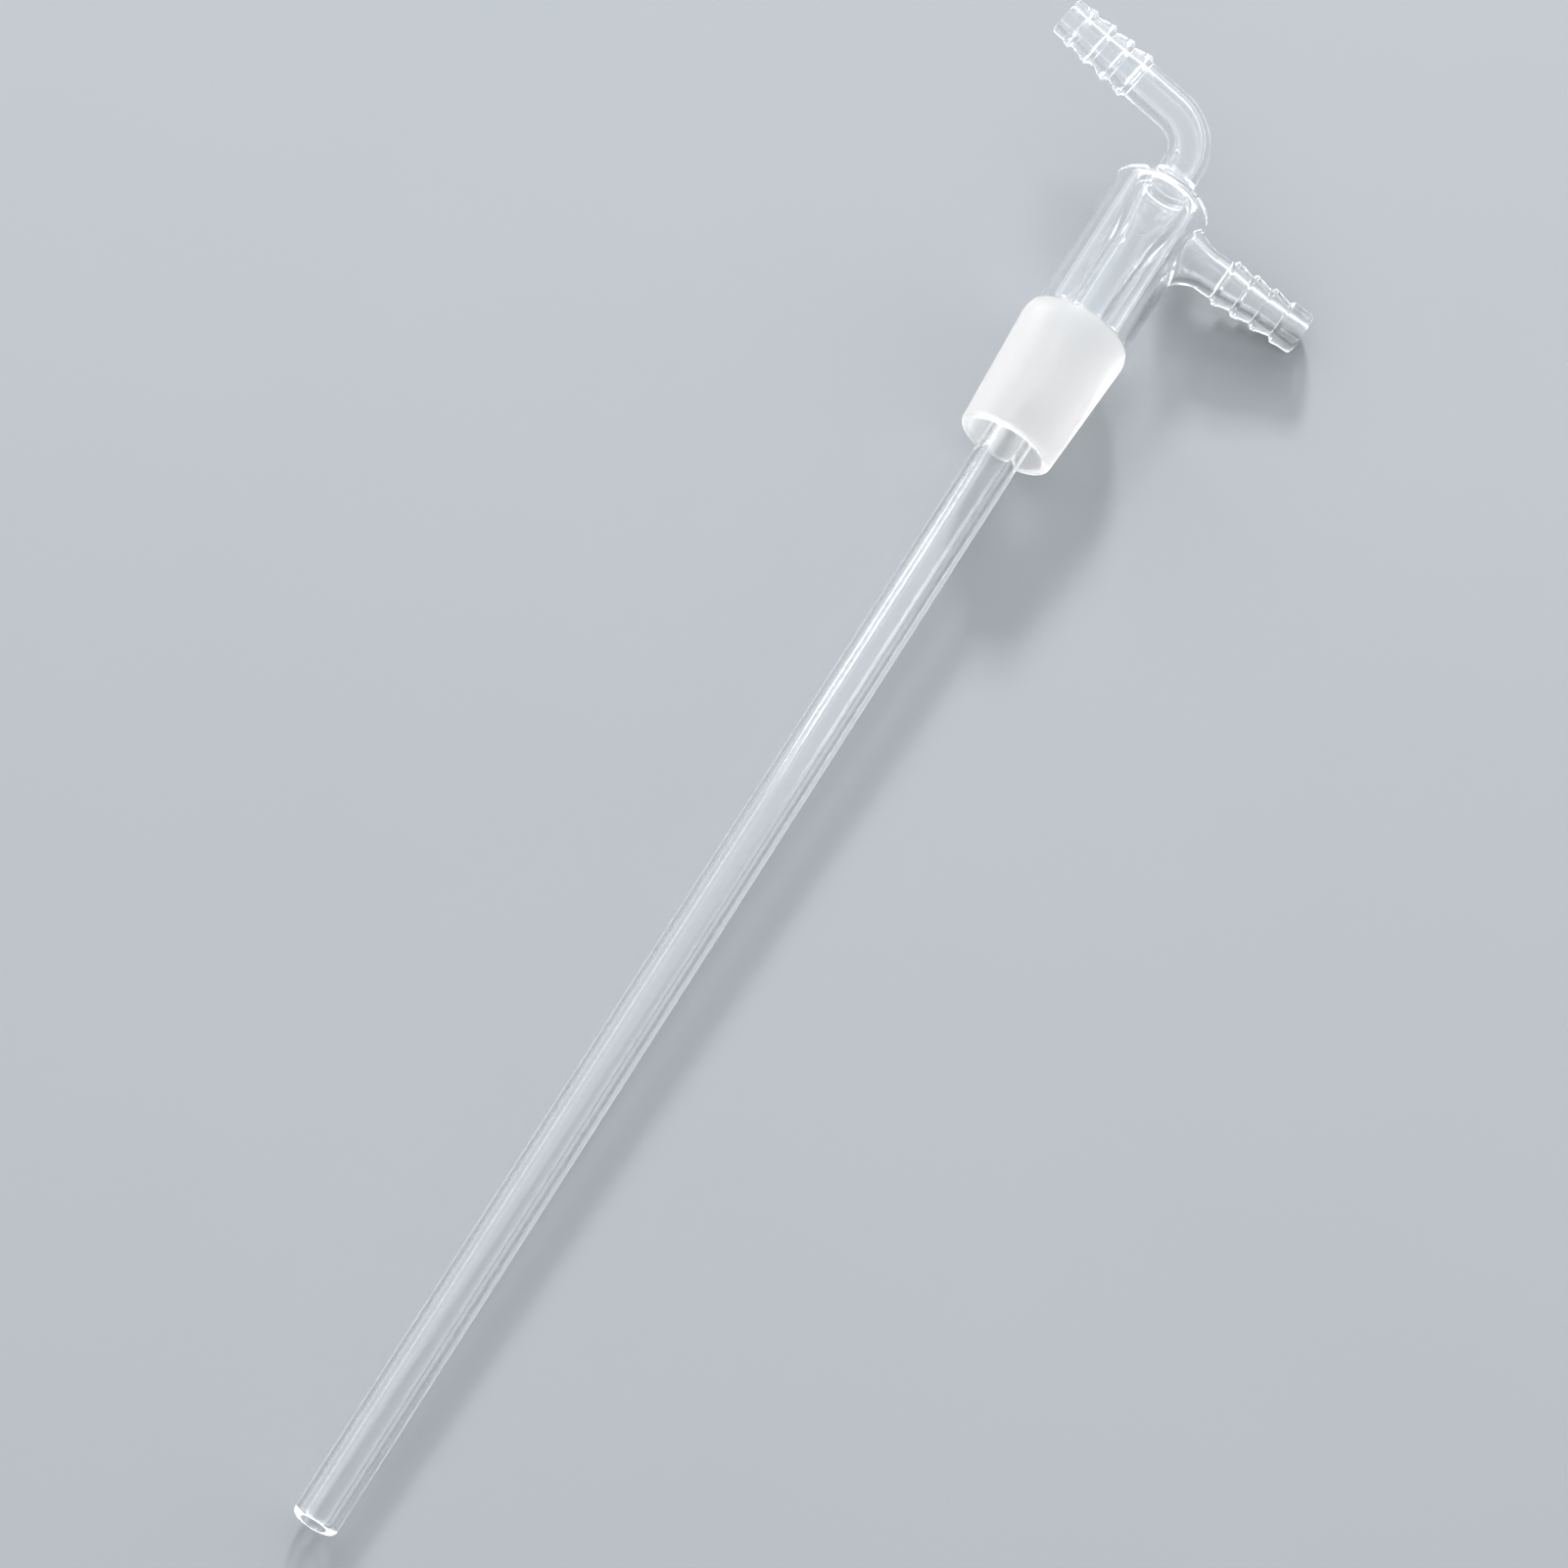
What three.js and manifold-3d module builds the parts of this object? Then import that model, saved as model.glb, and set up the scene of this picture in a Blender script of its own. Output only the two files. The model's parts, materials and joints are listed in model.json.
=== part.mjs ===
// Gas inlet adapter for a washing bottle: a hollow ground cone with a clear stem, a domed shoulder, a bent
// hose connection on top, a second one on the side, and a long dip tube held inside by a ring seal.
// Millimetres, +Z up. The adapter lies on a flat surface as it would on a bench, touching it with the tip of
// the dip tube, the wide rim of the cone and the end of the side hose connection.
import * as THREE from 'three';
import { mergeVertices } from 'three/addons/utils/BufferGeometryUtils.js';
import Module from 'manifold-3d';

// Glass frame: +Z along the glass axis towards the bent connection, Z = 0 at the small end of the cone,
// +X along the side arm. Fused pieces keep a small gap, so that each one is a solid of its own.
const GAP = 0.05;
const SIDES = 36;
const BARB_SIDES = 28;

const CONE = { largeRadius: 12, length: 29, taper: 1 / 10, wall: 2.1, lip: 0.9, innerLip: 0.4, shoulder: 3 };
const STEM = { radius: 10.9, wall: 1.5, top: 65.2 };
const DOME = { height: 4.7, collarRadius: 5.7 };
const RISER = { radius: 4.5, wall: 1.5, base: 72.4, cornerHeight: 82.9, bendRadius: 9.5, turn: 82 };
const FUNNEL = { top: 67.2, bottom: 50, radius: 6.4 };
const DIP = { radius: 4.9, wall: 2.2, length: 270.5, lip: 1.2, innerLip: 0.5 };
const ARM = { height: 58.1, flareRadius: 6.9, flareCurve: 1.6, wall: 1.6, rootInset: 2.6, curveInset: 1 };
const TOP_BARB = {
  start: 15.2,
  crests: [18.9, 23.7, 28.6, 33.6],
  tip: 38.3,
  crest: 5.65,
  crestLoss: 0.2,
  end: 4.4,
  bore: 2.4,
};
const SIDE_BARB = {
  start: 16.4,
  crests: [20.5, 25.3, 30.1, 35.0],
  tip: 39.8,
  crest: 5.45,
  crestLoss: 0.13,
  end: 4.8,
  bore: 2.1,
};
const BARB = { rootRadius: 4.5, steep: 1.3, wideBore: 1, lip: 0.7, innerLip: 0.3 };

const CONE_SMALL_RADIUS = CONE.largeRadius - CONE.length * CONE.taper / 2;
const STEM_BORE = STEM.radius - STEM.wall;
const DIP_BORE = DIP.radius - DIP.wall;
const RISER_BORE = RISER.radius - RISER.wall;
const CONE_TOP = CONE.length + CONE.shoulder;

const CLEAR_GLASS = { color: 0xdfe8ee, roughness: 0.05, metalness: 0 };
const GROUND_GLASS = { color: 0xeef2f4, roughness: 0.75, metalness: 0 };

const wasm = await Module();
wasm.setup();

// Points of a circular arc in a profile, from one angle to another in degrees.
function arc(r, z, radius, from, to, steps = 4) {
  const points = [];
  for (let i = 0; i <= steps; i++) {
    const a = THREE.MathUtils.degToRad(from + (to - from) * i / steps);
    points.push([r + radius * Math.cos(a), z + radius * Math.sin(a)]);
  }
  return points;
}

// Points of a profile between two heights, with the radius given by a function of the share of the way.
function stretch(fromZ, toZ, steps, radiusAt) {
  const points = [];
  for (let i = 0; i <= steps; i++) {
    points.push([radiusAt(i / steps), THREE.MathUtils.lerp(fromZ, toZ, i / steps)]);
  }
  return points;
}

function ease(from, to, t) {
  return THREE.MathUtils.lerp(from, to, (1 - Math.cos(Math.PI * t)) / 2);
}

// A ring turned about +Z from its closed profile of [radius, height] points, listed bore first.
function turned(profile, sides = SIDES) {
  const points = [...profile, profile[0]].map(([r, z]) => new THREE.Vector2(r, z));
  return new THREE.LatheGeometry(points, sides).rotateX(Math.PI / 2);
}

function solidOf(geometry) {
  const bare = geometry.clone();
  bare.deleteAttribute('normal');
  bare.deleteAttribute('uv');
  const merged = mergeVertices(bare, 1e-4);
  return new wasm.Manifold(new wasm.Mesh({
    numProp: 3,
    vertProperties: new Float32Array(merged.attributes.position.array),
    triVerts: new Uint32Array(merged.index.array),
  }));
}

function geometryOf(solid) {
  const mesh = solid.getMesh();
  const geometry = new THREE.BufferGeometry();
  geometry.setAttribute('position', new THREE.BufferAttribute(mesh.vertProperties, 3));
  geometry.setIndex(new THREE.BufferAttribute(mesh.triVerts, 1));
  geometry.computeVertexNormals();
  return geometry;
}

function part(name, geometry, look) {
  const mesh = new THREE.Mesh(geometry, new THREE.MeshStandardMaterial(look));
  mesh.name = name;
  return mesh;
}

// The standard 1 in 10 ground cone with its rounded lips, and the shoulder where it necks down to the stem.
function groundCone() {
  const small = CONE_SMALL_RADIUS;
  const bore = small - CONE.wall;
  const shoulder = stretch(CONE.length, CONE_TOP - GAP, 6, (t) => ease(CONE.largeRadius, STEM.radius, t));
  return part('ground_cone', turned([
    [STEM_BORE, CONE_TOP - GAP],
    ...arc(bore + CONE.innerLip, CONE.innerLip, CONE.innerLip, 180, 270, 3),
    ...arc(small - CONE.lip, CONE.lip, CONE.lip, 270, 360),
    ...shoulder,
  ]), GROUND_GLASS);
}

// The clear tube above the cone, with a round port on +X for the side arm.
function stemTube() {
  const tube = solidOf(turned([
    [STEM_BORE, STEM.top - GAP],
    [STEM_BORE, CONE_TOP],
    [STEM.radius, CONE_TOP],
    [STEM.radius, STEM.top - GAP],
  ]));
  const portRadius = ARM.flareRadius + GAP;
  const port = new THREE.CylinderGeometry(portRadius, portRadius, STEM.radius * 2, SIDES)
    .rotateZ(Math.PI / 2)
    .translate(STEM.radius, 0, ARM.height);
  return part('stem_tube', geometryOf(tube.subtract(solidOf(port))), CLEAR_GLASS);
}

// Height of an ellipse with the given half width and rise, standing on the top of the stem.
function domeZ(halfWidth, rise, r) {
  return STEM.top + rise * Math.sqrt(Math.max(0, 1 - (r / halfWidth) ** 2));
}

function domeArc(halfWidth, rise, endRadius, steps) {
  const last = Math.acos(endRadius / halfWidth);
  const points = [];
  for (let i = 0; i <= steps; i++) {
    const a = last * i / steps;
    points.push([halfWidth * Math.cos(a), STEM.top + rise * Math.sin(a)]);
  }
  return points;
}

function shoulderDome() {
  const outer = domeArc(STEM.radius, DOME.height, DOME.collarRadius + GAP, 8);
  const inner = domeArc(STEM_BORE, DOME.height - STEM.wall, DOME.collarRadius + GAP, 7);
  return part('shoulder_dome', turned([...inner.reverse(), ...outer]), CLEAR_GLASS);
}

// The thick ring where dome, riser and dip tube are fused together.
function ringSeal() {
  const collar = DOME.collarRadius;
  const outerZ = domeZ(STEM.radius, DOME.height, collar);
  const innerZ = domeZ(STEM_BORE, DOME.height - STEM.wall, collar);
  const neckRadiusAt = (t) => RISER.radius + (collar - RISER.radius) * (1 - t) ** 2;
  const throatRadiusAt = (t) => ease(RISER_BORE, FUNNEL.radius - RISER.wall, t);
  const neck = stretch(outerZ, RISER.base - GAP, 5, neckRadiusAt);
  const throat = stretch(RISER.base - GAP, FUNNEL.top, 5, throatRadiusAt);
  return part('ring_seal', turned([
    ...throat,
    [collar, FUNNEL.top],
    [collar, innerZ],
    ...neck,
  ]), CLEAR_GLASS);
}

// The inner tube widens into a funnel under the ring seal.
function dipTubeFunnel() {
  const top = FUNNEL.top - GAP;
  const bore = stretch(top, FUNNEL.bottom, 7, (t) => ease(FUNNEL.radius - RISER.wall, DIP_BORE, t));
  const outside = stretch(FUNNEL.bottom, top, 7, (t) => ease(DIP.radius, FUNNEL.radius, t));
  return part('dip_tube_funnel', turned([...bore, ...outside]), CLEAR_GLASS);
}

function dipTube() {
  const tip = -DIP.length;
  return part('dip_tube', turned([
    [DIP_BORE, FUNNEL.bottom - GAP],
    ...arc(DIP_BORE + DIP.innerLip, tip + DIP.innerLip, DIP.innerLip, 180, 270, 3),
    ...arc(DIP.radius - DIP.lip, tip + DIP.lip, DIP.lip, 270, 360),
    [DIP.radius, FUNNEL.bottom - GAP],
  ]), CLEAR_GLASS);
}

// Centreline of the bent inlet: up the glass axis, round the bend, and out towards the hose connection.
class BendCurve extends THREE.Curve {
  constructor() {
    super();
    this.turn = THREE.MathUtils.degToRad(RISER.turn);
    this.tangent = RISER.bendRadius * Math.tan(this.turn / 2);
    this.rise = RISER.cornerHeight - this.tangent - RISER.base;
    this.sweep = RISER.bendRadius * this.turn;
    this.run = TOP_BARB.start - GAP - this.tangent;
  }

  getPoint(t) {
    const s = t * (this.rise + this.sweep + this.run);
    if (s <= this.rise) return new THREE.Vector3(0, 0, RISER.base + s);
    const angle = Math.min((s - this.rise) / RISER.bendRadius, this.turn);
    const extra = Math.max(0, s - this.rise - this.sweep);
    return new THREE.Vector3(
      -RISER.bendRadius * (1 - Math.cos(angle)) - extra * Math.sin(angle),
      0,
      RISER.base + this.rise + RISER.bendRadius * Math.sin(angle) + extra * Math.cos(angle),
    );
  }
}

function inletBend() {
  const ring = new THREE.Shape().absarc(0, 0, RISER.radius, 0, 2 * Math.PI);
  ring.holes.push(new THREE.Path().absarc(0, 0, RISER_BORE, 0, 2 * Math.PI, true));
  const tube = new THREE.ExtrudeGeometry(ring, {
    steps: 16,
    curveSegments: BARB_SIDES / 2,
    extrudePath: new BendCurve(),
  });
  return part('inlet_bend', tube, CLEAR_GLASS);
}

// A hose connection along +Z: ridges that rise slowly from the tip side and drop steeply on the other,
// lower towards the tip, then a plain end with rounded lips. The bore narrows soon after its start.
function hoseBarb(spec, startBore) {
  const last = spec.crests.length - 1;
  const boreRadiusAt = (t) => ease(startBore, spec.bore, t);
  const points = [[startBore, spec.start]];
  points.push(...stretch(spec.start + BARB.wideBore, spec.crests[0], 3, boreRadiusAt));
  points.push(...arc(spec.bore + BARB.innerLip, spec.tip - BARB.innerLip, BARB.innerLip, 180, 90, 2));
  points.push(...arc(spec.end - BARB.lip, spec.tip - BARB.lip, BARB.lip, 90, 0, 3));
  for (let k = last; k >= 0; k--) {
    const crest = spec.crest - spec.crestLoss * k;
    const foot = k === last ? spec.end : BARB.rootRadius;
    const halfway = (spec.tip - BARB.lip + spec.crests[k]) / 2;
    const from = k === last ? halfway : spec.crests[k + 1] - BARB.steep;
    points.push(...stretch(from, spec.crests[k], 4, (t) => ease(foot, crest, t)));
    points.push([BARB.rootRadius, spec.crests[k] - BARB.steep]);
  }
  points.push([BARB.rootRadius, spec.start]);
  return turned(points.reverse(), BARB_SIDES);
}

// The top connection points away from the corner where the riser's two centrelines meet.
function topHoseBarb() {
  const mesh = part('top_hose_barb', hoseBarb(TOP_BARB, RISER_BORE), CLEAR_GLASS);
  mesh.position.z = RISER.cornerHeight;
  mesh.rotation.y = -THREE.MathUtils.degToRad(RISER.turn);
  return mesh;
}

// Outer radius of the side arm's flare, t = 0 at the stem and 1 at the hose connection.
function flareRadiusAt(t) {
  return BARB.rootRadius + (ARM.flareRadius - BARB.rootRadius) * (1 - t) ** ARM.flareCurve;
}

// The root of the side arm: the stem's wall drawn out into a flare. It is made from inside the stem's bore
// outwards and trimmed flush with the bore.
function sideArmRoot() {
  const start = STEM_BORE - ARM.rootInset;
  const curveStart = STEM.radius - ARM.curveInset;
  const end = SIDE_BARB.start - GAP;
  const flare = turned([
    ...stretch(end, curveStart, 6, (t) => flareRadiusAt(1 - t) - ARM.wall),
    [ARM.flareRadius - ARM.wall, start],
    [ARM.flareRadius, start],
    ...stretch(curveStart, end, 6, flareRadiusAt),
  ]).rotateY(Math.PI / 2).translate(0, 0, ARM.height);
  const bore = new THREE.CylinderGeometry(STEM_BORE, STEM_BORE, STEM.top - CONE_TOP, SIDES)
    .rotateX(Math.PI / 2)
    .translate(0, 0, (STEM.top + CONE_TOP) / 2);
  return part('side_arm_root', geometryOf(solidOf(flare).subtract(solidOf(bore))), CLEAR_GLASS);
}

function sideHoseBarb() {
  const mesh = part('side_hose_barb', hoseBarb(SIDE_BARB, BARB.rootRadius - ARM.wall), CLEAR_GLASS);
  mesh.position.z = ARM.height;
  mesh.rotation.y = Math.PI / 2;
  return mesh;
}

// Tilt of the glass axis when the dip tube's tip and the cone's rim both touch the surface.
function restingTilt() {
  const between = DIP.length - DIP.lip + CONE.length;
  return Math.asin((CONE.largeRadius - DIP.radius) / between);
}

// Roll about the glass axis that brings the end of the side connection down to the surface.
function restingRoll() {
  const tilt = restingTilt();
  const height = CONE.largeRadius / Math.cos(tilt) + (ARM.height - CONE.length) * Math.tan(tilt);
  const reach = SIDE_BARB.tip - BARB.lip;
  return Math.asin(height / Math.hypot(reach, SIDE_BARB.end)) - Math.atan(SIDE_BARB.end / reach);
}

const glass = new THREE.Group();
glass.add(groundCone(), stemTube(), shoulderDome(), ringSeal(), dipTubeFunnel(), dipTube());
glass.add(inletBend(), topHoseBarb(), sideArmRoot(), sideHoseBarb());

// Row frame: +X along the glass axis towards the bent connection, side arm towards -Y.
const roll = restingRoll();
const tilt = restingTilt();
const along = new THREE.Vector3(Math.cos(tilt), 0, Math.sin(tilt));
const up = new THREE.Vector3(-Math.sin(tilt), 0, Math.cos(tilt));
const arm = new THREE.Vector3(0, -Math.cos(roll), 0).addScaledVector(up, -Math.sin(roll));
const side = new THREE.Vector3().crossVectors(along, arm);
glass.quaternion.setFromRotationMatrix(new THREE.Matrix4().makeBasis(arm, side, along));

const adapter = new THREE.Group();
adapter.add(glass);
const box = new THREE.Box3().setFromObject(adapter, true);
const middle = box.getCenter(new THREE.Vector3());
glass.position.set(-middle.x, -middle.y, -box.min.z);

export default adapter;
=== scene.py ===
"""Glass gas inlet adapter lying on a pale surface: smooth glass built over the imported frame.

Lengths are millimetres in the glass frame: +Z along the glass axis towards the bent connection, Z = 0 at
the small end of the cone, +X along the side arm. MM turns them into metres.
"""
import json
import math

import bpy
import numpy as np
from mathutils import Matrix, Vector

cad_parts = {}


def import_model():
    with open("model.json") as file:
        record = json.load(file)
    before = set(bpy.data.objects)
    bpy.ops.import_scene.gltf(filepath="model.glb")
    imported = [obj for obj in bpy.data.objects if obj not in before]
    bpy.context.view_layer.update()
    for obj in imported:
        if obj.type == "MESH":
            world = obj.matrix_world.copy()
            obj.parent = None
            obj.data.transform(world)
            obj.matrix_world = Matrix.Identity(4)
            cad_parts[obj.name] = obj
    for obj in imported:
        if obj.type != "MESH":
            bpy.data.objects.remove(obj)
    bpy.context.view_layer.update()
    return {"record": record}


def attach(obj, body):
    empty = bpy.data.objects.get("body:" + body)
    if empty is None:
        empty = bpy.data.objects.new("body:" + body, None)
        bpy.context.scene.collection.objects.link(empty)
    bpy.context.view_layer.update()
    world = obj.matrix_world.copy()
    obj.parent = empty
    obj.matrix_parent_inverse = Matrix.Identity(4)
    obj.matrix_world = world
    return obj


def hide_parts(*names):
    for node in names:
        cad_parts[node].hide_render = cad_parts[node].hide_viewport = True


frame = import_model()

MM = 0.001
BODY = "root"
SIDES = 128
# Corners that agree to this many decimals are one corner, and profile points this close are one point.
MERGE_DECIMALS = 3
SAME_POINT = 1e-3

# The CAD nodes, each with its slot. The piece that replaces a node has the node's name plus "_glass".
SLOTS = {
    "ground_cone": "ground_glass",
    "stem_tube": "clear_glass",
    "shoulder_dome": "clear_glass",
    "ring_seal": "clear_glass",
    "dip_tube_funnel": "clear_glass",
    "dip_tube": "clear_glass",
    "inlet_bend": "clear_glass",
    "top_hose_barb": "clear_glass",
    "side_arm_root": "clear_glass",
    "side_hose_barb": "clear_glass",
}

# The glass, as in the frame. The taper is the cone's loss of radius along its length.
CONE = dict(large=12.0, small=10.55, length=29.0, taper=0.05, wall=2.1, top=32.0, lip=0.95, inner_lip=0.55,
            rim=27.4, edge=(11.35, 30.4), shoulder=30.7)
STEM = dict(radius=10.9, bore=9.4, top=65.2)
DOME = dict(rise=4.7, inner_rise=3.2, collar=6.4, inner_collar=8.0)
RISER = dict(radius=4.5, bore=3.0, base=72.4, corner=82.9, bend=9.5, turn=math.radians(82.0))
FUNNEL = dict(radius=6.4, bore=4.9, top=67.2, seam=64.4, bottom=50.0)
DIP = dict(radius=4.9, bore=2.7, tip=-270.5, lip=1.25, inner_lip=0.7)
ARM = dict(height=58.1, radius=4.5, bore=2.9, end=16.4)

# The side arm's port in the outer and the inner wall, and how far the patch of wall round it goes down.
PORT = dict(half_width=7.0, below=8.0, above=6.7)
INNER_PORT = dict(half_width=5.4, below=6.9, above=5.7)
PATCH_BELOW = 9.5
# How strongly the arm's flare leaves along the wall and arrives along the arm, as shares of its reach.
FLARE = dict(leave=0.55, arrive=1.1)

# The hose connections, by distance from the corner of the bend and from the glass axis. Their crests and
# the valleys between them lose radius from ridge to ridge towards the tip.
TOP_BARB = dict(start=15.2, crests=(18.9, 23.7, 28.6, 33.6), tip=38.3, crest=5.65, crest_loss=0.2,
                end=4.4, bore=2.4)
SIDE_BARB = dict(start=16.4, crests=(20.5, 25.3, 30.1, 35.0), tip=39.8, crest=5.45, crest_loss=0.13,
                 end=4.8, bore=2.1)
BARB = dict(root=4.55, root_loss=0.13, run_per_rise=0.85, lip=0.8, inner_lip=0.45, step=0.1, rounding=4)

# The radius of the flat ring at the cone's small end, where the frame's mount sits.
LIP_RING = 9.25

# Clear glass. The height of its waves is in metres. Passed and edge are the shares of light that one face
# lets straight through head on and at a grazing angle. They stand in for the light that the glass bends:
# the dip tube's thick wall gathers the most, and the side connection throws the most aside.
IOR = 1.474
CLEAR_TINT = (0.985, 0.992, 0.995, 1)
WAVE_DETAIL = 2.0
FINISHES = {
    "drawn": dict(waves=70.0, stretch=0.1, height=0.00003, passed=1.12, edge=0.75),
    "thick": dict(waves=70.0, stretch=0.1, height=0.000004, passed=1.4, edge=0.0),
    "worked": dict(waves=180.0, stretch=0.6, height=0.00002, passed=1.06, edge=0.6),
    "side": dict(waves=180.0, stretch=0.6, height=0.00002, passed=0.65, edge=0.15),
}
GROUND = dict(tint=(0.85, 0.835, 0.822, 1), roughness=0.6, transmission=0.92, sheen=0.15, sheen_roughness=0.2,
              through_tint=(0.88, 0.868, 0.858, 1), through=0.5, grain=6000.0, grain_height=0.00002,
              grain_detail=4.0)

# The surface that it lies on and the surroundings. Tints are stops of position and colour.
FLOOR = dict(size=8.0, roughness=0.85, specular=0.2, clouds=9.0, cloud_detail=5.0,
             tints=((0, (0.236, 0.252, 0.268, 1)), (1, (0.250, 0.264, 0.278, 1))))
SKY_TINTS = ((0, (3.5, 3.55, 3.6, 1)), (0.35, (1.3, 1.33, 1.37, 1)), (1, (1.04, 1.06, 1.09, 1)))

# The camera in metres, its lens in millimetres, and the lamps in metres and degrees, in the row frame.
CAMERA = dict(place=(-0.62768, -0.22451, 1.64367), view=(0.35594, 0.12798, -0.92571),
              up=(0.78497, 0.49658, 0.37048), lens=200.0, sensor=36.0)
LAMPS = {
    "key_softbox": dict(azimuth=25.4, elevation=26.0, distance=2.6, width=0.36, height=0.36, radiance=226.0),
    "strip_softbox": dict(azimuth=67.0, elevation=20.0, distance=1.5, width=0.12, height=0.35, radiance=9.0),
    "panel_softbox": dict(azimuth=18.0, elevation=30.0, distance=2.9, width=2.9, height=1.94, radiance=2.3),
}
# Light that runs along inside the dip tube's wall turns back many times before it leaves.
BOUNCES = 256
TRANSPARENT_BOUNCES = 64


def glass_frame():
    """The glass frame's place in the row frame, from the stated faces of the cone and the side arm."""
    mounts = {m["name"]: m for m in frame["record"]["mounts"]}
    along = -Vector(mounts["cone_small_end"]["axis"]).normalized()
    arm = Vector(mounts["side_hose_end"]["axis"])
    arm = (arm - along * arm.dot(along)).normalized()
    origin = Vector(mounts["cone_small_end"]["pos_m"]) - arm * LIP_RING * MM
    turn = Matrix((arm, along.cross(arm), along)).transposed().to_4x4()
    return Matrix.Translation(origin) @ turn


# ---- profiles: lists of (radius, distance along the axis) ----

def arc(r, z, radius, start, end, steps=10):
    """Points of a circular arc between two angles in degrees."""
    angles = np.radians(np.linspace(start, end, steps + 1))
    return [(r + radius * math.cos(a), z + radius * math.sin(a)) for a in angles]


def line(a, b, steps):
    return [(a[0] + (b[0] - a[0]) * t, a[1] + (b[1] - a[1]) * t) for t in np.linspace(0, 1, steps + 1)]


def ease(a, b, t):
    return a + (b - a) * (1 - math.cos(math.pi * t)) / 2


def eased(a, b, steps):
    """From a to b with the radius changing smoothly, parallel to the axis at both ends."""
    return [(ease(a[0], b[0], t), a[1] + (b[1] - a[1]) * t) for t in np.linspace(0, 1, steps + 1)]


def fillet(a, corner, b, steps=16):
    """A smooth curve from a to b that leaves and arrives along the lines through the corner."""
    return [tuple(a[i] * (1 - t) ** 2 + corner[i] * 2 * t * (1 - t) + b[i] * t * t for i in (0, 1))
            for t in np.linspace(0, 1, steps + 1)]


def dome(half_width, rise, end_radius, steps=20):
    """An ellipse from the top of the stem inwards to a radius."""
    angles = np.linspace(0, math.acos(end_radius / half_width), steps + 1)
    return [(half_width * math.cos(a), STEM["top"] + rise * math.sin(a)) for a in angles]


def tangent_corner(half_width, rise, end_radius, radius):
    """Where the tangent at the end of a dome's ellipse reaches another radius."""
    a = math.acos(end_radius / half_width)
    slope = -rise * math.cos(a) / (half_width * math.sin(a))
    return radius, STEM["top"] + rise * math.sin(a) + slope * (radius - end_radius)


def joined(*parts):
    """One profile from several, with the points where they meet kept once."""
    points = []
    for p in (p for part in parts for p in part):
        if not points or math.dist(p, points[-1]) > SAME_POINT:
            points.append(p)
    return points


# ---- rings of points round an axis ----

ANGLES = [2 * math.pi * k / SIDES for k in range(SIDES)]


def ring(centre, across, side, radius):
    return [centre + across * (radius * math.cos(a)) + side * (radius * math.sin(a)) for a in ANGLES]


def turned(profile):
    """Rings round the glass axis."""
    return [ring(Vector((0, 0, z)), Vector((1, 0, 0)), Vector((0, 1, 0)), r) for r, z in profile]


def turned_on_arm(profile):
    """Rings round the side arm's axis, starting on the side of the cone."""
    down, side = Vector((0, 0, -1)), Vector((0, 1, 0))
    return [ring(Vector((x, 0, ARM["height"])), down, side, r) for r, x in profile]


def turned_on_bend(profile):
    """Rings round the far leg of the bend, by their distance from the corner."""
    along = Vector((-math.sin(RISER["turn"]), 0, math.cos(RISER["turn"])))
    across = Vector((math.cos(RISER["turn"]), 0, math.sin(RISER["turn"])))
    corner = Vector((0, 0, RISER["corner"]))
    return [ring(corner + along * d, across, Vector((0, 1, 0)), r) for r, d in profile]


# ---- meshes: every piece is a set of strips, and pieces that meet share their corners' normals ----

PIECES = {}


def strip(node, rings, look, closed=True):
    """Adds quads between neighbouring rings to the piece for a node. look is "seam" for a fused face."""
    PIECES.setdefault(node, []).append((rings, look, closed))


def seam(node, outer, inner):
    """The face where a piece is fused to the next, between its two walls. It faces away from the piece."""
    strip(node, [outer, inner], "seam")


def quads(rings, closed):
    """The corners of each face between neighbouring rings, counted from the first point of the first."""
    count = len(rings[0])
    for i in range(len(rings) - 1):
        for j in range(count if closed else count - 1):
            after = (j + 1) % count
            yield i * count + j, i * count + after, (i + 1) * count + after, (i + 1) * count + j


def gather():
    """All corners, and each face's corners, look and node, with corners that coincide made one."""
    corners, faces, looks, owners = [], [], [], []
    for node, strips in PIECES.items():
        for rings, look, closed in strips:
            base = len(corners)
            corners += [tuple(p) for row in rings for p in row]
            for face in quads(rings, closed):
                faces.append([base + i for i in face])
                looks.append(look)
                owners.append(node)
    corners = np.array(corners)
    rounded = np.round(corners, MERGE_DECIMALS)
    _, first, index = np.unique(rounded, axis=0, return_index=True, return_inverse=True)
    return corners[first], index.reshape(-1)[np.array(faces)], looks, owners


def shared_normals(points, faces, looks):
    """The normal of each corner, over the walls of all the pieces that meet there."""
    quad = points[faces]
    area = np.cross(quad[:, 2] - quad[:, 0], quad[:, 3] - quad[:, 1])
    walls = np.array([look != "seam" for look in looks])
    total = np.zeros_like(points)
    for i in range(4):
        np.add.at(total, faces[walls, i], area[walls])
    return total / np.maximum(np.linalg.norm(total, axis=1, keepdims=True), 1e-12)


def shading(mesh, looks, normals):
    """A normal for every corner of every face: the face's own on a seam, and the shared one on a wall."""
    turn = GLASS.to_3x3()
    result = []
    for face in mesh.polygons:
        flat = looks[face.index] == "seam"
        result += [face.normal if flat else turn @ Vector(normals[v]) for v in face.vertices]
    return result


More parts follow.
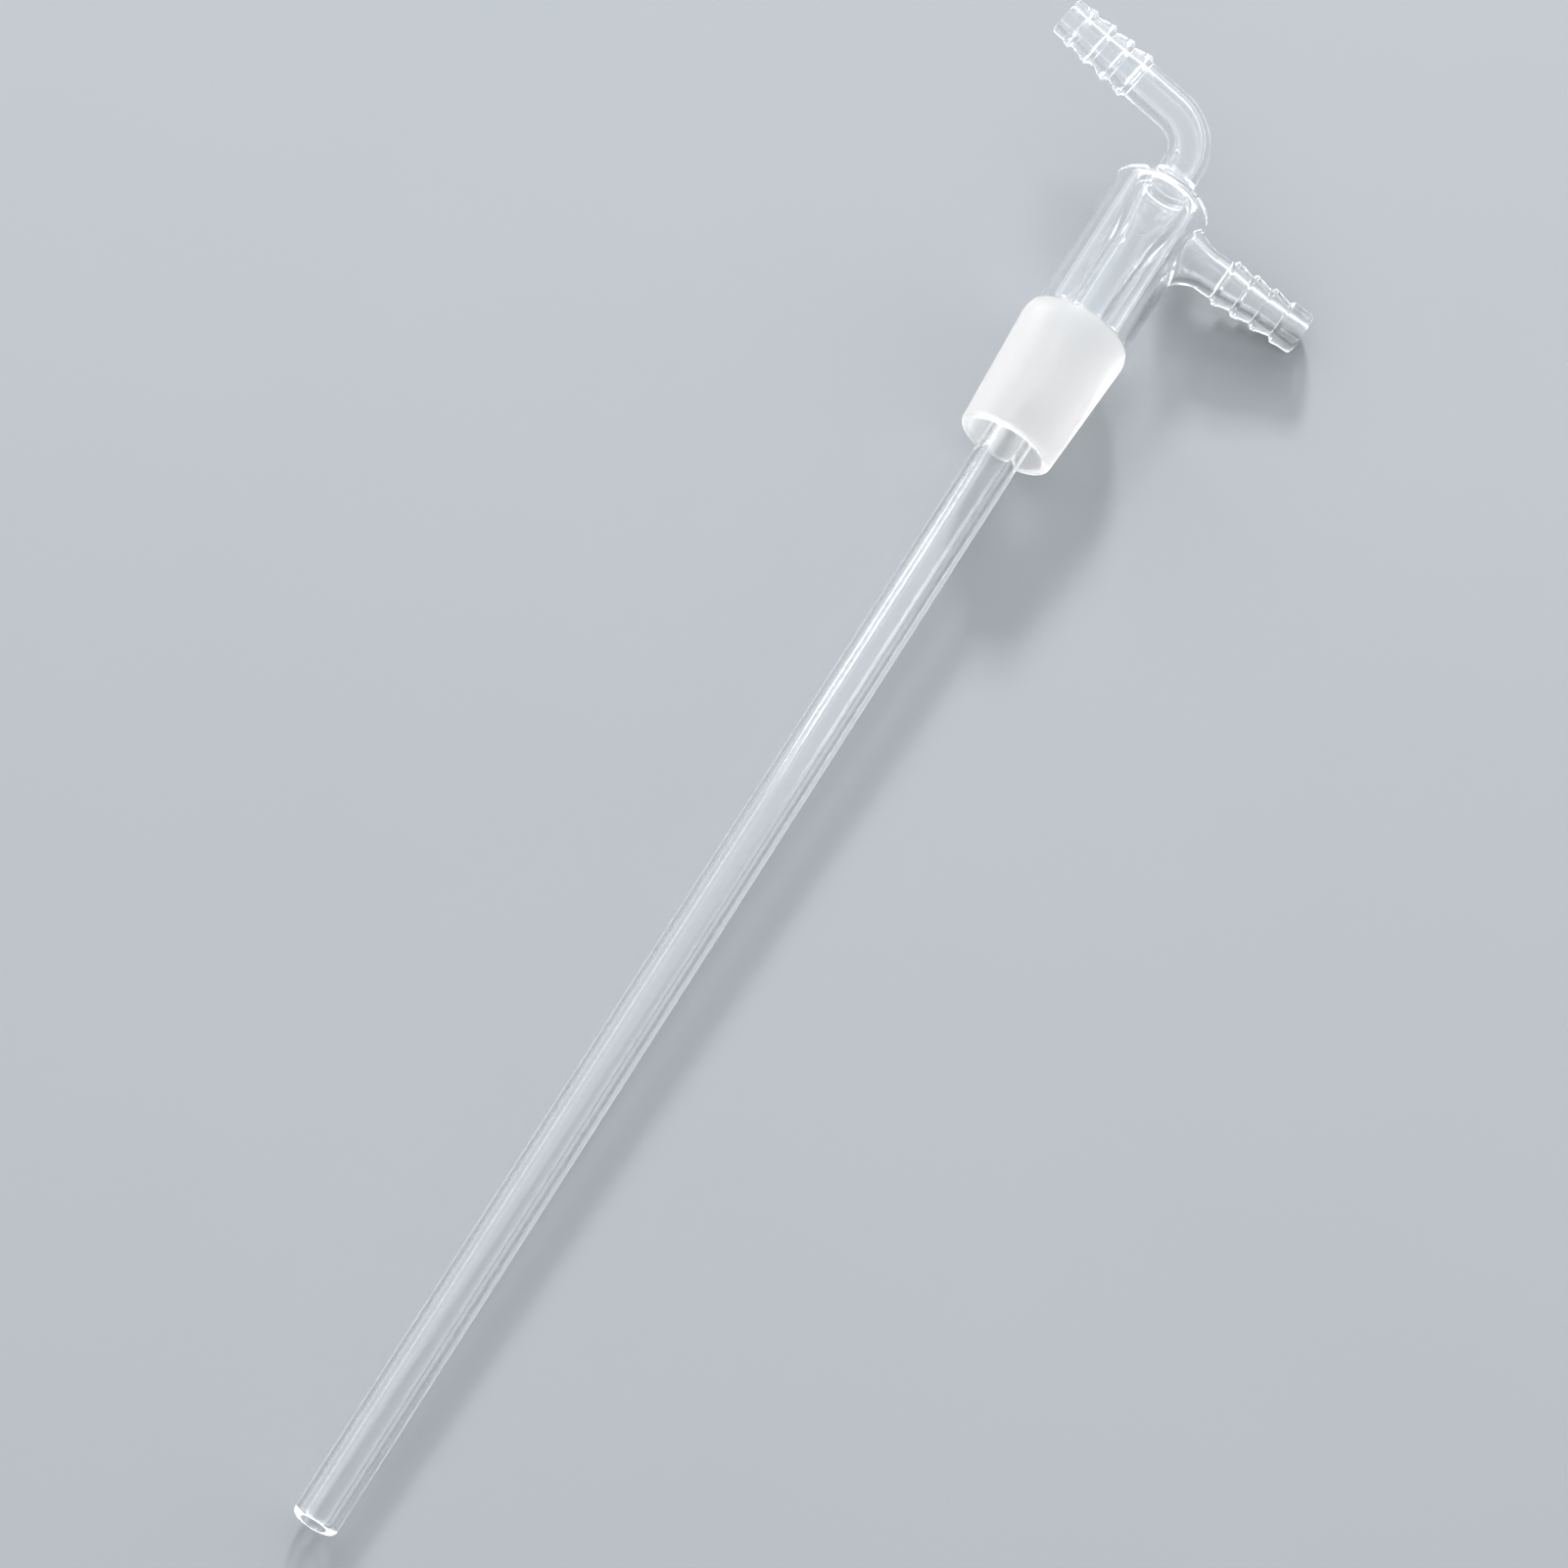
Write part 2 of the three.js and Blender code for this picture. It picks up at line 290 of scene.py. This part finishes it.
def piece_mesh(name, points, normals, faces, looks, materials):
    """The mesh of one piece, from its own faces among all the points."""
    used, local = np.unique(faces, return_inverse=True)
    mesh = bpy.data.meshes.new(name)
    places = [GLASS @ Vector(p * MM) for p in points[used]]
    mesh.from_pydata(places, [], [tuple(dict.fromkeys(f)) for f in local.reshape(-1, 4).tolist()])
    own_looks = list(dict.fromkeys(looks))
    for look in own_looks:
        mesh.materials.append(materials[look])
    mesh.polygons.foreach_set("material_index", [own_looks.index(look) for look in looks])
    mesh.polygons.foreach_set("use_smooth", [look != "seam" for look in looks])
    mesh.update()
    mesh.normals_split_custom_set(shading(mesh, looks, normals[used]))
    return mesh


def build(materials):
    """Makes the piece for every node, which it replaces."""
    points, faces, looks, owners = gather()
    normals = shared_normals(points, faces, looks)
    for node, slot in SLOTS.items():
        name = node + "_glass"
        mine = [i for i, owner in enumerate(owners) if owner == node]
        mesh = piece_mesh(name, points, normals, faces[mine], [looks[i] for i in mine], materials)
        obj = bpy.data.objects.new(name, mesh)
        bpy.context.scene.collection.objects.link(obj)
        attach(obj, BODY)
        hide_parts(node)


# ---- the pieces ----

def ground_cone():
    node = "ground_cone"
    bore = CONE["small"] - CONE["wall"]
    inside = line((STEM["bore"], CONE["top"]), (bore, CONE["inner_lip"]), steps=24)
    inner_lip = arc(bore + CONE["inner_lip"], CONE["inner_lip"], CONE["inner_lip"], 180, 270)
    outer_lip = arc(CONE["small"] - CONE["lip"], CONE["lip"], CONE["lip"], 270, 360)
    rim = CONE["large"] - (CONE["length"] - CONE["rim"]) * CONE["taper"], CONE["rim"]
    rounded_rim = fillet(rim, (CONE["large"], CONE["length"]), CONE["edge"])
    ground = joined(outer_lip, line(outer_lip[-1], rim, steps=24), rounded_rim)
    shoulder = fillet(ground[-1], (STEM["radius"], CONE["shoulder"]), (STEM["radius"], CONE["top"]))
    strip(node, turned(joined(inside, inner_lip, outer_lip[:1])), "drawn")
    strip(node, turned(ground), "ground")
    strip(node, turned(shoulder), "drawn")
    seam(node, turned(shoulder[-1:])[0], turned(inside[:1])[0])


def on_wall(radius, u, v):
    """A point on a wall of the stem, from its place on the unrolled wall about the side arm."""
    return Vector((radius * math.cos(u / radius), radius * math.sin(u / radius), ARM["height"] + v))


def port_point(radius, port, a):
    """Unrolled place of the port's edge. The angle is 0 on the side of the cone."""
    reach = port["below"] if math.cos(a) > 0 else port["above"]
    return radius * math.asin(port["half_width"] * math.sin(a) / radius), -reach * math.cos(a)


def patch_edge(radius, k):
    """Unrolled place of the four-sided patch round the port, an eighth of the stem's turn each way."""
    per_side = SIDES // 4
    edge, step = divmod((k + per_side // 2) % SIDES, per_side)
    share = step / per_side
    wide = radius * math.pi / 4
    low, high = -PATCH_BELOW, STEM["top"] - ARM["height"]
    return ((wide * (2 * share - 1), low), (wide, low + (high - low) * share),
            (wide * (1 - 2 * share), high), (-wide, high + (low - high) * share))[edge]


def port_patch(radius, port, steps=10):
    """Rings on the wall from the edge of the patch in to the port."""
    rings = []
    for t in np.linspace(0, 1, steps + 1):
        row = []
        for k, a in enumerate(ANGLES):
            edge, hole = patch_edge(radius, k), port_point(radius, port, a)
            row.append(on_wall(radius, edge[0] + (hole[0] - edge[0]) * t, edge[1] + (hole[1] - edge[1]) * t))
        rings.append(row)
    return rings


def back_of_wall(radius):
    """Rows of the wall behind the patch, from its lower edge up."""
    rows = np.linspace(-PATCH_BELOW, STEM["top"] - ARM["height"], SIDES // 4 + 1)
    columns = range(SIDES // 8, SIDES * 7 // 8 + 1)
    return [[on_wall(radius, radius * 2 * math.pi * k / SIDES, v) for k in columns] for v in rows]


def stem_tube():
    node = "stem_tube"
    for key, port, step in (("radius", PORT, 1), ("bore", INNER_PORT, -1)):
        radius = STEM[key]
        below = turned(line((radius, CONE["top"]), (radius, ARM["height"] - PATCH_BELOW), steps=12))
        strip(node, below[::step], "drawn")
        strip(node, port_patch(radius, port)[::step], "drawn")
        strip(node, back_of_wall(radius)[::step], "drawn", closed=False)
    for z, step in ((CONE["top"], -1), (STEM["top"], 1)):
        walls = turned([(STEM["radius"], z), (STEM["bore"], z)])[::step]
        seam(node, *walls)
    seam(node, port_patch(STEM["radius"], PORT)[-1], port_patch(STEM["bore"], INNER_PORT)[-1])


def shoulder_dome():
    node = "shoulder_dome"
    outer = turned(dome(STEM["radius"], DOME["rise"], DOME["collar"]))
    inner = turned(dome(STEM["bore"], DOME["inner_rise"], DOME["inner_collar"]))
    strip(node, outer, "worked")
    strip(node, inner[::-1], "worked")
    seam(node, inner[0], outer[0])
    seam(node, outer[-1], inner[-1])


def funnel_radius(z, top, bottom):
    return ease(bottom, top, min(1.0, (z - FUNNEL["bottom"]) / (FUNNEL["top"] - FUNNEL["bottom"])))


def funnel_wall(top, bottom, low, high, steps):
    return [(funnel_radius(z, top, bottom), z) for z in np.linspace(low, high, steps + 1)]


def ring_seal():
    node = "ring_seal"
    outer_dome = (STEM["radius"], DOME["rise"], DOME["collar"])
    inner_dome = (STEM["bore"], DOME["inner_rise"], DOME["inner_collar"])
    neck = turned(fillet(dome(*outer_dome)[-1], tangent_corner(*outer_dome, RISER["radius"]),
                         (RISER["radius"], RISER["base"])))
    foot = (funnel_radius(FUNNEL["seam"], FUNNEL["radius"], DIP["radius"]), FUNNEL["seam"])
    underside = turned(fillet(foot, tangent_corner(*inner_dome, foot[0]), dome(*inner_dome)[-1]))
    throat = turned(joined(funnel_wall(FUNNEL["bore"], DIP["bore"], FUNNEL["seam"], FUNNEL["top"], steps=4),
                           eased((FUNNEL["bore"], FUNNEL["top"]), (RISER["bore"], RISER["base"]), steps=16)))
    strip(node, neck, "worked")
    strip(node, underside, "worked")
    strip(node, throat[::-1], "worked")
    seam(node, underside[-1], neck[0])
    seam(node, neck[-1], throat[-1])
    seam(node, throat[0], underside[0])


def dip_tube_funnel():
    node = "dip_tube_funnel"
    outer = turned(funnel_wall(FUNNEL["radius"], DIP["radius"], FUNNEL["bottom"], FUNNEL["seam"], steps=30))
    inner = turned(funnel_wall(FUNNEL["bore"], DIP["bore"], FUNNEL["bottom"], FUNNEL["seam"], steps=30))
    strip(node, outer, "worked")
    strip(node, inner[::-1], "worked")
    seam(node, outer[-1], inner[-1])
    seam(node, inner[0], outer[0])


def dip_tube():
    node = "dip_tube"
    lip, inner_lip, tip = DIP["lip"], DIP["inner_lip"], DIP["tip"]
    inside = line((DIP["bore"], FUNNEL["bottom"]), (DIP["bore"], tip + inner_lip), steps=48)
    inner_arc = arc(DIP["bore"] + inner_lip, tip + inner_lip, inner_lip, 180, 270)
    outer_arc = arc(DIP["radius"] - lip, tip + lip, lip, 270, 360, steps=14)
    outside = line((DIP["radius"], tip + lip), (DIP["radius"], FUNNEL["bottom"]), steps=48)
    wall = turned(joined(inside, inner_arc, outer_arc, outside))
    strip(node, wall, "thick")
    seam(node, wall[-1], wall[0])


def bend_wall(radius, steps=48):
    """Rings of one wall of the riser and its bend, from the ring seal to the hose connection."""
    reach = RISER["bend"] * math.tan(RISER["turn"] / 2)
    start = RISER["corner"] - reach
    rings = turned(line((radius, RISER["base"]), (radius, start), steps=6))
    for turn in np.linspace(0, RISER["turn"], steps + 1)[1:]:
        across = Vector((math.cos(turn), 0, math.sin(turn)))
        centre = Vector((-RISER["bend"], 0, start)) + across * RISER["bend"]
        rings.append(ring(centre, across, Vector((0, 1, 0)), radius))
    return rings + turned_on_bend(line((radius, reach), (radius, TOP_BARB["start"]), steps=12))[1:]


def inlet_bend():
    node = "inlet_bend"
    outer, inner = bend_wall(RISER["radius"]), bend_wall(RISER["bore"])
    strip(node, outer, "worked")
    strip(node, inner[::-1], "worked")
    seam(node, outer[-1], inner[-1])
    seam(node, inner[0], outer[0])


def port_flare(radius, port, end_radius, steps=24):
    """Rings that leave a wall of the stem along it and turn out into the side arm."""
    span = 2 * math.pi / SIDES
    rings = [[] for _ in range(steps + 1)]
    for a in ANGLES:
        u, v = port_point(radius, port, a)
        before, after = (Vector(port_point(radius, port, a + d)) for d in (-span, span))
        inward = Vector((-(after - before).y, (after - before).x)).normalized()
        around = Vector((-math.sin(u / radius), math.cos(u / radius), 0))
        start = on_wall(radius, u, v)
        end = Vector((ARM["end"], end_radius * math.sin(a), ARM["height"] - end_radius * math.cos(a)))
        reach = end.x - start.x
        leave = (around * inward.x + Vector((0, 0, inward.y))) * reach * FLARE["leave"]
        arrive = Vector((reach * FLARE["arrive"], 0, 0))
        for i, t in enumerate(np.linspace(0, 1, steps + 1)):
            rings[i].append(start * (2 * t**3 - 3 * t**2 + 1) + leave * (t**3 - 2 * t**2 + t)
                            + end * (3 * t**2 - 2 * t**3) + arrive * (t**3 - t**2))
    return rings


def side_arm_root():
    node = "side_arm_root"
    outer = port_flare(STEM["radius"], PORT, ARM["radius"])
    inner = port_flare(STEM["bore"], INNER_PORT, ARM["bore"])
    strip(node, outer, "side")
    strip(node, inner[::-1], "side")
    seam(node, outer[-1], inner[-1])
    seam(node, inner[0], outer[0])


def ridged(spec):
    """The outside of a hose connection: ridges steep on the body's side that fall slowly towards the tip."""
    corners = [(spec["start"], BARB["root"])]
    for k, at in enumerate(spec["crests"]):
        root = BARB["root"] - BARB["root_loss"] * k
        crest = spec["crest"] - spec["crest_loss"] * k
        corners += [(at - (crest - root) * BARB["run_per_rise"], root), (at, crest)]
    last = spec["tip"] - BARB["lip"]
    corners += [((last + spec["crests"][-1]) / 2, spec["end"]), (last, spec["end"])]
    count = round((last - spec["start"]) / BARB["step"])
    along = np.linspace(spec["start"], last, count + 1)
    radii = np.interp(along, *zip(*corners))
    for _ in range(BARB["rounding"]):
        radii[1:-1] = (radii[:-2] + 2 * radii[1:-1] + radii[2:]) / 4
    return list(zip(radii, along))


def hose_barb(node, spec, start_bore, turn, look):
    """A hose connection, open at its tip, whose bore narrows from its start to the third ridge."""
    bore, lip, inner_lip, tip = spec["bore"], BARB["lip"], BARB["inner_lip"], spec["tip"]
    narrowed = spec["crests"][2]
    outside = joined(ridged(spec), arc(spec["end"] - lip, tip - lip, lip, 0, 90))
    inner_arc = arc(bore + inner_lip, tip - inner_lip, inner_lip, 90, 180)
    inside = joined(line((bore, tip - inner_lip), (bore, narrowed), steps=16),
                    eased((bore, narrowed), (start_bore, spec["start"]), steps=24))
    wall = turn(joined(outside, inner_arc, inside))
    strip(node, wall, look)
    seam(node, wall[-1], wall[0])


# ---- materials ----

def new_material(name):
    material = bpy.data.materials.new(name)
    material.use_nodes = True
    return material, material.node_tree.nodes, material.node_tree.links


def colour_ramp(nodes, stops):
    """A colour ramp with these stops of position and colour, the first at 0 and the last at 1."""
    ramp = nodes.new("ShaderNodeValToRGB")
    elements = ramp.color_ramp.elements
    elements[0].color = stops[0][1]
    elements[1].color = stops[-1][1]
    for position, colour in stops[1:-1]:
        elements.new(position).color = colour
    return ramp


def uneven(nodes, links, scale, stretch, height, detail):
    """A bump of noise. A stretch below 1 draws it out along the glass."""
    where = nodes.new("ShaderNodeTexCoord")
    mapping = nodes.new("ShaderNodeMapping")
    mapping.inputs["Scale"].default_value = (stretch, 1.0, 1.0)
    wave = nodes.new("ShaderNodeTexNoise")
    wave.inputs["Scale"].default_value = scale
    wave.inputs["Detail"].default_value = detail
    bump = nodes.new("ShaderNodeBump")
    bump.inputs["Distance"].default_value = height
    links.new(where.outputs["Object"], mapping.inputs["Vector"])
    links.new(mapping.outputs["Vector"], wave.inputs["Vector"])
    links.new(wave.outputs["Fac"], bump.inputs["Height"])
    return bump


def letting_light_by(nodes, links, glass, passed, edge):
    """The glass, with lamps and light off other things shining straight through it on to what lies behind."""
    graze = nodes.new("ShaderNodeLayerWeight")
    share = colour_ramp(nodes, ((0, (passed, passed, passed, 1)), (1, (edge, edge, edge, 1))))
    bare = nodes.new("ShaderNodeBsdfTransparent")
    path = nodes.new("ShaderNodeLightPath")
    links.new(graze.outputs["Facing"], share.inputs["Fac"])
    links.new(share.outputs["Color"], bare.inputs["Color"])
    surface = glass
    for ray in ("Is Diffuse Ray", "Is Shadow Ray"):
        both = nodes.new("ShaderNodeMixShader")
        links.new(path.outputs[ray], both.inputs["Fac"])
        links.new(surface, both.inputs[1])
        links.new(bare.outputs["BSDF"], both.inputs[2])
        surface = both.outputs["Shader"]
    return surface


def clear_glass(name, waves, stretch, height, passed, edge):
    material, nodes, links = new_material(name)
    shader = nodes["Principled BSDF"]
    shader.inputs["Base Color"].default_value = CLEAR_TINT
    shader.inputs["Roughness"].default_value = 0.0
    shader.inputs["IOR"].default_value = IOR
    shader.inputs["Transmission Weight"].default_value = 1.0
    bump = uneven(nodes, links, waves, stretch, height, WAVE_DETAIL)
    links.new(bump.outputs["Normal"], shader.inputs["Normal"])
    surface = letting_light_by(nodes, links, shader.outputs["BSDF"], passed, edge)
    links.new(surface, nodes["Material Output"].inputs["Surface"])
    return material


def ground_glass():
    """Ground glass scatters light both back and on through the wall."""
    material, nodes, links = new_material("ground_borosilicate")
    shader = nodes["Principled BSDF"]
    shader.inputs["Base Color"].default_value = GROUND["tint"]
    shader.inputs["Roughness"].default_value = GROUND["roughness"]
    shader.inputs["IOR"].default_value = IOR
    shader.inputs["Transmission Weight"].default_value = GROUND["transmission"]
    shader.inputs["Sheen Weight"].default_value = GROUND["sheen"]
    shader.inputs["Sheen Roughness"].default_value = GROUND["sheen_roughness"]
    through = nodes.new("ShaderNodeBsdfTranslucent")
    through.inputs["Color"].default_value = GROUND["through_tint"]
    both = nodes.new("ShaderNodeMixShader")
    both.inputs["Fac"].default_value = GROUND["through"]
    bump = uneven(nodes, links, GROUND["grain"], 1.0, GROUND["grain_height"], GROUND["grain_detail"])
    links.new(bump.outputs["Normal"], shader.inputs["Normal"])
    links.new(shader.outputs["BSDF"], both.inputs[1])
    links.new(through.outputs["BSDF"], both.inputs[2])
    links.new(both.outputs["Shader"], nodes["Material Output"].inputs["Surface"])
    return material


def seam_face():
    """Two fused pieces meet without a surface, so the faces that close them off aren't seen."""
    material, nodes, _ = new_material("fused_face")
    nodes["Principled BSDF"].inputs["Alpha"].default_value = 0.0
    return material


def all_materials():
    """Every look's material."""
    materials = {look: clear_glass(look + "_borosilicate", **finish) for look, finish in FINISHES.items()}
    materials["ground"] = ground_glass()
    materials["seam"] = seam_face()
    return materials


# ---- floor, light and camera ----

def pale_surface():
    """A faintly clouded matt surface."""
    material, nodes, links = new_material("pale_surface")
    shader = nodes["Principled BSDF"]
    shader.inputs["Roughness"].default_value = FLOOR["roughness"]
    shader.inputs["Specular IOR Level"].default_value = FLOOR["specular"]
    cloud = nodes.new("ShaderNodeTexNoise")
    cloud.inputs["Scale"].default_value = FLOOR["clouds"]
    cloud.inputs["Detail"].default_value = FLOOR["cloud_detail"]
    tint = colour_ramp(nodes, FLOOR["tints"])
    where = nodes.new("ShaderNodeTexCoord")
    links.new(where.outputs["Object"], cloud.inputs["Vector"])
    links.new(cloud.outputs["Fac"], tint.inputs["Fac"])
    links.new(tint.outputs["Color"], shader.inputs["Base Color"])
    return material


def floor():
    bpy.ops.mesh.primitive_plane_add(size=FLOOR["size"])
    obj = bpy.context.object
    obj.name = "floor"
    obj.data.materials.append(pale_surface())


def world():
    """Pale surroundings, brighter towards the horizon than overhead."""
    scene_world = bpy.data.worlds.new("pale_surroundings")
    scene_world.use_nodes = True
    nodes, links = scene_world.node_tree.nodes, scene_world.node_tree.links
    where = nodes.new("ShaderNodeTexCoord")
    split = nodes.new("ShaderNodeSeparateXYZ")
    shade = colour_ramp(nodes, SKY_TINTS)
    links.new(where.outputs["Generated"], split.inputs["Vector"])
    links.new(split.outputs["Z"], shade.inputs["Fac"])
    links.new(shade.outputs["Color"], nodes["Background"].inputs["Color"])
    bpy.context.scene.world = scene_world


def softbox(name, spec):
    """A rectangle of even light that faces the object. Its radiance sets its power."""
    light = bpy.data.lights.new(name, "AREA")
    light.shape = "RECTANGLE"
    light.size, light.size_y = spec["width"], spec["height"]
    light.energy = spec["radiance"] * math.pi * spec["width"] * spec["height"]
    obj = bpy.data.objects.new(name, light)
    turn, rise = math.radians(spec["azimuth"]), math.radians(spec["elevation"])
    away = Vector((math.cos(rise) * math.cos(turn), math.cos(rise) * math.sin(turn), math.sin(rise)))
    obj.location = away * spec["distance"]
    obj.rotation_euler = away.to_track_quat("Z", "Y").to_euler()
    obj.visible_camera = False
    bpy.context.scene.collection.objects.link(obj)


def camera():
    lens = bpy.data.cameras.new("camera")
    lens.lens = CAMERA["lens"]
    lens.sensor_width = CAMERA["sensor"]
    obj = bpy.data.objects.new("camera", lens)
    back = -Vector(CAMERA["view"]).normalized()
    right = Vector(CAMERA["up"]).cross(back).normalized()
    turn = Matrix((right, back.cross(right), back)).transposed().to_4x4()
    obj.matrix_world = Matrix.Translation(Vector(CAMERA["place"])) @ turn
    bpy.context.scene.collection.objects.link(obj)
    bpy.context.scene.camera = obj


def light_paths():
    """How far light is followed, and a plain display of its brightness."""
    scene = bpy.context.scene
    scene.view_settings.view_transform = "Standard"
    scene.cycles.max_bounces = BOUNCES
    scene.cycles.transmission_bounces = BOUNCES
    scene.cycles.glossy_bounces = BOUNCES
    scene.cycles.transparent_max_bounces = TRANSPARENT_BOUNCES


GLASS = glass_frame()
ground_cone()
stem_tube()
shoulder_dome()
ring_seal()
dip_tube_funnel()
dip_tube()
inlet_bend()
side_arm_root()
hose_barb("top_hose_barb", TOP_BARB, RISER["bore"], turned_on_bend, "worked")
hose_barb("side_hose_barb", SIDE_BARB, ARM["bore"], turned_on_arm, "side")
build(all_materials())
floor()
world()
for lamp_name, lamp in LAMPS.items():
    softbox(lamp_name, lamp)
camera()
light_paths()
